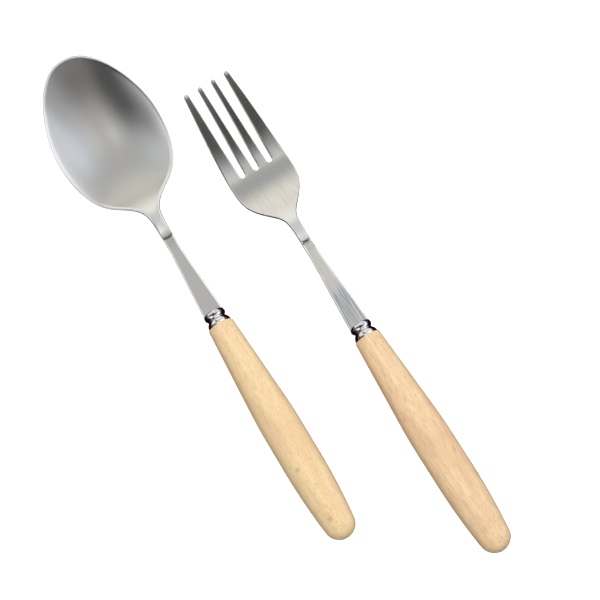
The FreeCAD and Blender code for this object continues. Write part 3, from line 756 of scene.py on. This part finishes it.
def ferrule_profile():
    """Ferrule outline from the dome down over bead, groove and ring, and up into the socket."""
    dome = arc_through((0.0, FERRULE_LENGTH), DOME_SIDE, BEAD_EDGE, DOME_POINTS)
    bead = arc_through(BEAD_EDGE, BEAD_SIDE, (GROOVE_RADIUS, GROOVE_TOP), BEAD_POINTS)[1:]
    ring = arc_through((GROOVE_RADIUS, RING_TOP), RING_FLANK, (RING_RADIUS, RING_BAND), RING_POINTS)
    foot = [(RING_RADIUS, 0.0), (SOCKET_RADIUS, 0.0), (SOCKET_RADIUS, SOCKET_DEPTH), (0.0, SOCKET_DEPTH)]
    return [(radius, along + HANDLE_LENGTH) for radius, along in dome + bead + ring + foot]


def cut_seat(piece, utensil):
    """Cuts the stem's rectangular seat into the ferrule, from the stem's start out of the dome."""
    end = HANDLE_LENGTH + FERRULE_LENGTH + 1
    half_width = STEM_HALF_WIDTH + SEAT_CLEARANCE
    half_height = SEAT_HALF_HEIGHT
    corners = [
        (x, y, z)
        for y in (STEM_START, end)
        for x, z in (
            (-half_width, -half_height), (half_width, -half_height),
            (half_width, half_height), (-half_width, half_height),
        )
    ]
    faces = [(0, 1, 2, 3), (7, 6, 5, 4), (0, 4, 5, 1), (1, 5, 6, 2), (2, 6, 7, 3), (3, 7, 4, 0)]
    mesh = bpy.data.meshes.new("seat_tool")
    mesh.from_pydata(place(corners, utensil).tolist(), [], faces)
    mesh.validate()
    tool = bpy.data.objects.new("seat_tool", mesh)
    bpy.context.scene.collection.objects.link(tool)
    modifier = piece.modifiers.new("seat", "BOOLEAN")
    modifier.operation = "DIFFERENCE"
    modifier.solver = "EXACT"
    modifier.object = tool
    depsgraph = bpy.context.evaluated_depsgraph_get()
    cut = bpy.data.meshes.new_from_object(piece.evaluated_get(depsgraph))
    piece.modifiers.clear()
    piece.data = cut
    mark_own(cut, utensil)
    bpy.data.objects.remove(tool)


def make_ferrule(utensil):
    """Chromed ferrule, with the seat for the stem cut through its dome."""
    points, faces = lathe(ferrule_profile(), FERRULE_SIDES)
    faces = [tuple(reversed(face)) for face in faces]
    piece = new_piece(utensil + "_ferrule_visual", points, faces, utensil)
    cut_seat(piece, utensil)
    piece.data.shade_smooth()
    piece.data.set_sharp_from_angle(angle=FERRULE_SHARP)
    return piece


# ---------------------------------------------------------------- materials


class Nodes:
    """Short names for adding and linking shader nodes."""

    def __init__(self, tree):
        self.tree = tree
        tree.nodes.clear()

    def add(self, kind, inputs=None, **settings):
        """A new node. An input is a plain value or another node's output to be linked."""
        node = self.tree.nodes.new("ShaderNode" + kind)
        for name, value in settings.items():
            setattr(node, name, value)
        for socket, value in (inputs or {}).items():
            if isinstance(value, bpy.types.NodeSocket):
                self.tree.links.new(value, node.inputs[socket])
            else:
                node.inputs[socket].default_value = value
        return node

    def math(self, operation, first, second):
        return self.add("Math", {0: first, 1: second}, operation=operation).outputs[0]

    def between(self, value, low, high, out_low=0.0, out_high=1.0):
        """Smooth step from out_low to out_high while the value goes from low to high."""
        inputs = {0: value, 1: low, 2: high, 3: out_low, 4: out_high}
        node = self.add("MapRange", inputs, interpolation_type="SMOOTHSTEP", clamp=True)
        return node.outputs[0]

    def mix(self, share, first, second):
        """The first colour at share 0, the second at share 1."""
        inputs = {0: share, 6: first, 7: second}
        return self.add("Mix", inputs, data_type="RGBA", clamp_factor=True).outputs[2]

    def noise(self, vector, scale, detail=2.0, rough=0.5):
        inputs = {"Vector": vector, "Scale": scale, "Detail": detail, "Roughness": rough}
        return self.add("TexNoise", inputs).outputs[0]

    def strands(self, vector, scales, detail=2.0, rough=0.5):
        """Noise stretched into strands: the larger a scale, the finer it is across that axis."""
        inputs = {"Vector": vector, "Scale": scales}
        stretched = self.add("Mapping", inputs, vector_type="POINT").outputs[0]
        return self.noise(stretched, 1.0, detail, rough)

    def vector(self, operation, first, second):
        return self.add("VectorMath", {0: first, 1: second}, operation=operation)

    def own(self):
        """The point's place in its utensil's own frame, in metres."""
        return self.add("Attribute", attribute_name="own").outputs["Vector"]

    def mark(self, name):
        """One of the blade's marks, from 0 to 1."""
        return self.add("Attribute", attribute_name=name).outputs["Fac"]

    def finish(self, shader):
        self.add("OutputMaterial", {"Surface": shader})


def new_material(name):
    """A material without nodes yet, and the helper that adds them."""
    material = bpy.data.materials.new(name)
    material.use_nodes = True
    return material, Nodes(material.node_tree)


# The steel's colours, the roughness of its polished parts, and two stretches in metres: where the
# scoured part ends, past the utensil's own "scoured_to", and where it is still weak
LINE_GREY = (0.44, 0.435, 0.42, 1)
HAZE_GREY = (0.60, 0.597, 0.59, 1)
# Painted shade: the next grey darkens the fork's palm, and the dark green after it lies in and behind
# the crease
PALM_SHADE_GREY = (0.48, 0.485, 0.475, 1)
PAINTED_SHADE_GREEN = (0.075, 0.08, 0.065, 1)
POLISHED_STEEL = (0.96, 0.96, 0.955, 1)
POLISHED_ROUGH = (0.22, 0.22, 0.22, 1)
# The scoured stretch's two scratch colours are bluish: a painted reflection on top of the real scratches
SCRATCH_AND_REFLECTION_LIGHT = (0.80, 0.85, 0.91, 1)
SCRATCH_AND_REFLECTION_DARK = (0.29, 0.33, 0.40, 1)
SCOURED_FADE = (0.0115, 0.0085)
SCOURED_WEAK = (0.092, 0.107)


def steel(name, kit):
    """Satin stainless steel brushed along the utensil, with a polished neck, rim and bevels, painted
    shade on the fork's palm and in and behind the crease, and a matt scoured stretch of stem beside
    the ferrule whose scratches carry a painted bluish reflection."""
    material, n = new_material(name)
    own = n.own()
    along = n.add("SeparateXYZ", {0: own}).outputs["Y"]
    polished, crease_shade, palm_shade = n.mark("polished"), n.mark("crease_shade"), n.mark("palm_shade")
    streaks = n.strands(own, (1700, 30, 60), 3.0, 0.6)
    long_lines = n.strands(own, (9000, 220, 300), 3.0, 0.6)
    fine_lines = n.strands(own, (26000, 700, 900), 2.0, 0.6)
    clouds = n.noise(own, 55.0, 3.0, 0.55)
    waves = n.noise(own, 140.0, 1.0, 0.4)
    lines = n.math("ADD", n.math("MULTIPLY", long_lines, 0.6), n.math("MULTIPLY", fine_lines, 0.4))

    # colour and roughness of the brushed ground, then the haze and the painted shade on it, then the
    # polished parts
    shade = n.between(n.mix(0.5, streaks, lines), 0.35, 0.68, 0.0, 0.34 * kit["brushing"])
    colour = n.mix(shade, kit["steel"], LINE_GREY)
    colour = n.mix(n.math("MULTIPLY", clouds, 0.25), colour, HAZE_GREY)
    # painted shade: the fork's palm darkened, then the crease's dark line and the shade behind it
    colour = n.mix(n.math("MULTIPLY", palm_shade, 0.75), colour, PALM_SHADE_GREY)
    colour = n.mix(crease_shade, colour, PAINTED_SHADE_GREEN)
    rough = n.math("ADD", n.math("MULTIPLY", clouds, 0.10), kit["satin"])
    rough = n.math("ADD", rough, n.math("MULTIPLY", lines, 0.08 * kit["brushing"]))
    rough = n.mix(polished, rough, POLISHED_ROUGH)
    colour = n.mix(polished, colour, POLISHED_STEEL)

    # the scoured stretch ends raggedly, is weaker beside the ferrule and leaves the bevels bright
    ragged = n.math("ADD", along, n.math("MULTIPLY", streaks, 0.02))
    fade_end, fade_start = (kit["scoured_to"] + extra for extra in SCOURED_FADE)
    scoured = n.between(ragged, fade_end, fade_start)
    scoured = n.math("MULTIPLY", scoured, n.between(polished, 0.4, 0.0))
    scoured = n.math("MULTIPLY", scoured, n.between(along, *SCOURED_WEAK, 0.5, 1.0))
    # the scratches are real wear, their bluish colours a painted reflection
    scratches = n.strands(own, (3600, 40, 60), 2.0, 0.6)
    scratch_and_reflection = n.mix(n.between(scratches, 0.38, 0.62), SCRATCH_AND_REFLECTION_LIGHT, SCRATCH_AND_REFLECTION_DARK)
    colour = n.mix(scoured, colour, scratch_and_reflection)

    swell = n.add("Bump", {"Strength": 1.0, "Distance": kit["waves"], "Height": waves})
    bump = n.add("Bump", {
        "Strength": 0.25 * kit["brushing"] + 0.05, "Distance": 0.00004,
        "Height": n.math("ADD", streaks, lines), "Normal": swell.outputs[0],
    })
    shader = n.add("BsdfPrincipled", {
        "Base Color": colour, "Metallic": 1.0, "Roughness": rough, "Normal": bump.outputs[0],
    })
    n.finish(shader.outputs[0])
    return material


PLATE_BRIGHT = (1.0, 0.985, 0.99, 1)
PLATE_SMEAR = (0.72, 0.69, 0.71, 1)
PLATE_SPOT = (0.16, 0.125, 0.14, 1)
# The last plate colour is painted shade: the dark reflection on the ferrule's shoulders
PLATE_SIDE_SHADE = (0.085, 0.052, 0.068, 1)


def chrome(name):
    """Bright plated ferrule with smears, dull spots, fine scratches and painted shade on its shoulders,
    between its top and its sides, standing in for the dark room that they reflect."""
    material, n = new_material(name)
    own = n.own()
    smears = n.noise(own, 420.0, 3.0, 0.6)
    spots = n.noise(own, 800.0, 2.0, 0.5)
    scratches = n.strands(own, (2500, 14000, 2500), 2.0, 0.6)
    rough = n.between(smears, 0.35, 0.8, 0.17, 0.28)
    # painted shade: the shoulders between top and sides are darkened, where the chrome reflects the dark
    # room
    radial = n.vector("MULTIPLY", own, (1, 0, 1)).outputs[0]
    radial = n.add("VectorMath", {0: radial}, operation="NORMALIZE").outputs[0]
    upward = n.add("SeparateXYZ", {0: radial}).outputs["Z"]
    upward = n.math("ADD", upward, n.math("MULTIPLY", smears, 0.3))
    painted_side_shade = n.math("MULTIPLY", n.between(upward, 1.05, 0.91), n.between(upward, 0.25, 0.60))
    colour = n.mix(n.math("MULTIPLY", smears, 0.25), PLATE_BRIGHT, PLATE_SMEAR)
    colour = n.mix(n.between(spots, 0.56, 0.66, 0.0, 0.8), colour, PLATE_SPOT)
    colour = n.mix(painted_side_shade, colour, PLATE_SIDE_SHADE)
    bump = n.add("Bump", {"Strength": 0.08, "Distance": 0.00002, "Height": scratches})
    shader = n.add("BsdfPrincipled", {
        "Base Color": colour, "Metallic": 1.0, "Roughness": rough, "Normal": bump.outputs[0],
    })
    n.finish(shader.outputs[0])
    return material


GRAIN_BROWN = (0.60, 0.38, 0.20, 1)
BLOTCH_BROWN = (0.66, 0.37, 0.20, 1)
FLECK_BROWN = (0.44, 0.25, 0.11, 1)
PORE_BROWN = (0.43, 0.25, 0.12, 1)
KNOT_BROWN = (0.45, 0.25, 0.10, 1)
KNOT_EDGE = (0.0014, 0.0003)
GRAIN_SWAY = (0.0012, 0.0, 0.0012)


def beech(name, kit):
    """Oiled beech: warm pale ground, long soft grain, the short brown flecks of its rays, pores and,
    on the spoon, two pin knots."""
    material, n = new_material(name)
    own = n.own()
    sway = n.vector("MULTIPLY", n.noise(own, 60.0, 1.0), GRAIN_SWAY).outputs[0]
    wavy = n.vector("ADD", own, sway).outputs[0]
    pore_length, pore_share = kit["pores"]
    blotch = n.strands(own, (150, 38, 150))
    grain = n.strands(wavy, (3000, 75, 3000), 4.0, 0.6)
    bands = n.strands(wavy, (330, 9, 330))
    flecks = n.between(n.strands(wavy, (2500, 420, 2500), 1.5), 0.62, 0.72)
    pores = n.between(n.strands(wavy, (4600, pore_length, 4600), 1.0), 0.58, 0.70)
    colour = n.mix(n.between(bands, 0.3, 0.7), kit["wood"], kit["late_wood"])
    colour = n.mix(n.between(grain, 0.42, 0.68, 0.0, kit["grain"]), colour, GRAIN_BROWN)
    colour = n.mix(n.between(blotch, 0.48, 0.72, 0.0, kit["blotch"]), colour, BLOTCH_BROWN)
    colour = n.mix(n.math("MULTIPLY", flecks, 0.4), colour, FLECK_BROWN)
    colour = n.mix(n.math("MULTIPLY", pores, pore_share), colour, PORE_BROWN)
    for centre in kit["knots"]:
        gap = n.vector("DISTANCE", own, centre).outputs["Value"]
        colour = n.mix(n.between(gap, *KNOT_EDGE, 0.0, 0.45), colour, KNOT_BROWN)
    rough = n.math("ADD", n.math("MULTIPLY", grain, 0.14), 0.38)
    height = n.math("SUBTRACT", n.math("MULTIPLY", grain, 0.5), flecks)
    bump = n.add("Bump", {"Strength": 0.3, "Distance": 0.00008, "Height": height})
    shader = n.add("BsdfPrincipled", {
        "Base Color": colour, "Roughness": rough, "Specular IOR Level": 0.45,
        "Normal": bump.outputs[0],
    })
    n.finish(shader.outputs[0])
    return material


GLUE_AMBER = (0.72, 0.60, 0.36, 1)
GLUE_PALE = (0.85, 0.78, 0.58, 1)


def glue(name):
    """Cured amber adhesive with small bubbles."""
    material, n = new_material(name)
    where = n.add("TexCoord").outputs["Object"]
    bubbles = n.noise(where, 1800.0, 2.0, 0.5)
    colour = n.mix(bubbles, GLUE_AMBER, GLUE_PALE)
    rough = n.between(bubbles, 0.3, 0.7, 0.35, 0.6)
    shader = n.add("BsdfPrincipled", {"Base Color": colour, "Roughness": rough})
    n.finish(shader.outputs[0])
    return material


# ---------------------------------------------------------------- the stage, the light, the camera


# Half the floor's width and its height in metres, just under the set so that nothing flickers
FLOOR_SIZE = 30.0
FLOOR_Z = -0.00003
FLOOR_TONES = ((0.93, 0.93, 0.93, 1), (0.95, 0.95, 0.95, 1))
FLOOR_GLOW = 0.95


def make_floor():
    """Plain white table. It shows itself to the camera but keeps out of the steel's reflections."""
    mesh = bpy.data.meshes.new("floor")
    quarters = ((-1, -1), (1, -1), (1, 1), (-1, 1))
    corners = [(FLOOR_SIZE * x, FLOOR_SIZE * y, FLOOR_Z) for x, y in quarters]
    mesh.from_pydata(corners, [], [(0, 1, 2, 3)])
    floor = bpy.data.objects.new("floor", mesh)
    bpy.context.scene.collection.objects.link(floor)
    material, n = new_material("floor")
    where = n.add("TexCoord").outputs["Object"]
    tone = n.noise(where, 40.0, 3.0, 0.5)
    cloth = n.add("BsdfDiffuse", {"Color": n.mix(tone, *FLOOR_TONES)})
    glow = n.add("Emission", {"Color": (1, 1, 1, 1), "Strength": FLOOR_GLOW})
    n.finish(n.add("AddShader", {0: cloth.outputs[0], 1: glow.outputs[0]}).outputs[0])
    mesh.materials.append(material)
    floor.visible_glossy = False
    floor.visible_diffuse = False


def toward(x, y):
    """Direction of the room that lies x degrees to the right of the zenith and y degrees ahead of it."""
    tilt = math.radians(math.hypot(x, y))
    turn = math.atan2(y, x)
    return math.sin(tilt) * math.cos(turn), math.sin(tilt) * math.sin(turn), math.cos(tilt)


# Patches of the room, one over another, in degrees: the centre's place right of the zenith and ahead
# of it, the radius inside which the patch is full and the radius where it ends. Then its colour.
ROOM_PATCHES = [
    ((0, 10), 62, 80, (0.60, 0.60, 0.605)),
    ((4, 76), 8, 31, (0.90, 0.87, 0.79)),
    ((27, 15), 8, 17, (0.72, 0.745, 0.79)),
    ((46, 17), 8, 23, (1.0, 1.06, 1.16)),
    ((40, -11), 8, 18, (0.44, 0.44, 0.45)),
    ((-37, 46), 6, 17, (0.80, 0.85, 0.86)),
    ((-57, 17), 7, 22, (0.27, 0.27, 0.275)),
    ((3, 16), 5, 9, (0.66, 0.63, 0.585)),
    ((15, 14), 3, 8, (1.2, 1.14, 1.0)),
    ((-7, 16), 2, 7, (1.6, 1.6, 1.57)),
    ((3, -36), 17, 37, (0.045, 0.040, 0.033)),
    ((-17, -7), 3, 9, (0.22, 0.175, 0.15)),
    ((-37, -1), 13, 25, (0.0, 0.0, 0.002)),
]

# What lies round the patches: the low walls and, under the horizon, the dark. The walls come in
# between these two heights of a direction of length one.
LOW_WALL_COLOUR = (1.7, 1.69, 1.67)
BELOW_COLOUR = (0.03, 0.024, 0.031)
WALL_FOOT = 0.03
WALL_FULL = 0.08


def make_room():
    """Soft studio: pale ceiling with brighter and darker quarters, bright low walls, dark below."""
    world = bpy.data.worlds.new("studio")
    bpy.context.scene.world = world
    world.use_nodes = True
    n = Nodes(world.node_tree)
    direction = n.add("TexCoord").outputs["Generated"]
    height = n.add("SeparateXYZ", {0: direction}).outputs["Z"]
    lit = n.between(height, WALL_FOOT, WALL_FULL)
    colour = n.mix(lit, (*BELOW_COLOUR, 1), (*LOW_WALL_COLOUR, 1))
    for centre, inner, outer, patch in ROOM_PATCHES:
        dot = n.vector("DOT_PRODUCT", direction, toward(*centre)).outputs["Value"]
        share = n.between(dot, math.cos(math.radians(outer)), math.cos(math.radians(inner)))
        colour = n.mix(share, colour, (*patch, 1))
    background = n.add("Background", {"Color": colour, "Strength": 1.0})
    n.add("OutputWorld", {"Surface": background.outputs[0]})


# Round lights: name, place in metres, width in metres, power in watts, colour
LIGHTS = [
    ("key", (0.18, 0.0, 1.0), 0.5, 6.2, (1, 1, 1)),
    ("fill", (-0.75, 0.1, 0.55), 0.6, 0.5, (0.9, 0.96, 1.15)),
]


def add_light(name, place_at, size, power, colour):
    """Soft round light aimed at the set. It lights the wood but doesn't show in the steel."""
    data = bpy.data.lights.new(name, "AREA")
    data.shape = "DISK"
    data.size = size
    data.energy = power
    data.color = colour
    light = bpy.data.objects.new(name, data)
    light.location = place_at
    light.rotation_euler = (-Vector(place_at)).to_track_quat("-Z", "Y").to_euler()
    light.visible_glossy = False
    bpy.context.scene.collection.objects.link(light)


# The point the camera looks at and its distance, in metres, its tilt from straight down, the turns
# about the vertical and about its own line of sight, and its lens and sensor in mm
CAMERA_TARGET = Vector((0.0122, -0.00767, 0.008))
CAMERA_DISTANCE = 0.588
CAMERA_TILT = math.radians(15.9)
CAMERA_AZIMUTH = math.radians(12.3)
CAMERA_ROLL = math.radians(19.3)
CAMERA_LENS = 98.94
SENSOR = 36.0
CLIP_START = 0.01


def make_camera():
    """Looks down on the set from just behind the butts, turned so that the heads point up and left."""
    data = bpy.data.cameras.new("camera")
    data.lens = CAMERA_LENS
    data.sensor_width = SENSOR
    data.clip_start = CLIP_START
    camera = bpy.data.objects.new("camera", data)
    bpy.context.scene.collection.objects.link(camera)
    level = Vector((math.sin(CAMERA_AZIMUTH), math.cos(CAMERA_AZIMUTH), 0))
    ahead = level * math.sin(CAMERA_TILT) - Vector((0, 0, math.cos(CAMERA_TILT)))
    side = Vector((level.y, -level.x, 0))
    up = side.cross(ahead)
    right = side * math.cos(CAMERA_ROLL) - up * math.sin(CAMERA_ROLL)
    top = side * math.sin(CAMERA_ROLL) + up * math.cos(CAMERA_ROLL)
    turn = Matrix((right, top, -ahead)).transposed()
    camera.matrix_world = Matrix.Translation(CAMERA_TARGET - ahead * CAMERA_DISTANCE) @ turn.to_4x4()
    bpy.context.scene.camera = camera


# ---------------------------------------------------------------- the whole set

chrome_plate = chrome("chrome_plate")
for utensil, kit in UTENSILS.items():
    make_blade(utensil).data.materials.append(steel(utensil + "_steel", kit))
    make_ferrule(utensil).data.materials.append(chrome_plate)
    make_handle(utensil).data.materials.append(beech(utensil + "_beech", kit))
    bond = frame["nodes"][utensil + "_glue"]
    bond.data.materials.clear()
    bond.data.materials.append(glue(utensil + "_glue"))

make_floor()
make_room()
for light in LIGHTS:
    add_light(*light)
make_camera()
bpy.context.scene.view_settings.view_transform = "Standard"
